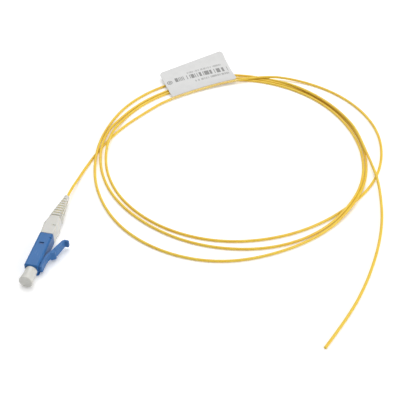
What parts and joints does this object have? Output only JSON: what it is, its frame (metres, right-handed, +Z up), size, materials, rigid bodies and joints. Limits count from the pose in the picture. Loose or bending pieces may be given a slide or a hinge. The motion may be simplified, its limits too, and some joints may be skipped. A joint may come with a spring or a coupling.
{
  "type": "fiber pigtail",
  "caption": "Simplex fibre pigtail: small square push-pull connector with dust cap, side latch and strain relief boot, flag label and a loose coil of thin cord.",
  "frame": {"origin": "centre of the connector housing's resting underside", "axes": "+Y along the plug axis from the dust cap towards the boot and cord, +X towards the latch, +Z up"},
  "size_m": [0.1049, 0.1328, 0.0049],
  "materials": {
    "cap_plastic": "translucent off-white moulded plastic, soft gloss",
    "housing_plastic": "blue moulded plastic, fine gloss",
    "ferrule_ceramic": "polished white ceramic",
    "flange_metal": "turned nickel-plated metal",
    "spring_steel": "drawn spring wire",
    "insert_plastic": "dark blue moulded plastic",
    "boot_rubber": "soft white moulded elastomer, satin",
    "label_film": "white printable film, satin, clear where it wraps the cord",
    "cord_jacket": "yellow tight-buffer coating, satin"
  },
  "bodies": {
    "connector": {"connector_housing": "housing_plastic", "rear_body": "insert_plastic", "strain_boot": "boot_rubber", "ferrule_spring": "spring_steel", "flag_label": "label_film", "cord_tail": "cord_jacket", "cord_coil": "cord_jacket", "cord_free_end": "cord_jacket"},
    "latch": {"latch_lever": "housing_plastic"},
    "ferrule_set": {"ferrule": "ferrule_ceramic", "ferrule_flange": "flange_metal", "fiber_buffer": "cord_jacket"},
    "cap": {"dust_cap": "cap_plastic"}
  },
  "joints": [
    {"name": "latch_press", "type": "hinge", "parent": "connector", "child": "latch", "pos_m": [0.00272, -0.0027, 0.00225], "axis": [0, 0, 1], "range_deg": [0, 8], "stiffness_Nm_per_rad": 0.02},
    {"name": "ferrule_float", "type": "slide", "parent": "connector", "child": "ferrule_set", "axis": [0, 1, 0], "range_m": [0, 0.0008], "stiffness_N_per_m": 800, "springref_m": -0.002, "deforming": ["ferrule_spring"]},
    {"name": "cap_pull", "type": "slide", "parent": "connector", "child": "cap", "axis": [0, -1, 0], "range_m": [0, 0.01]}
  ]
}
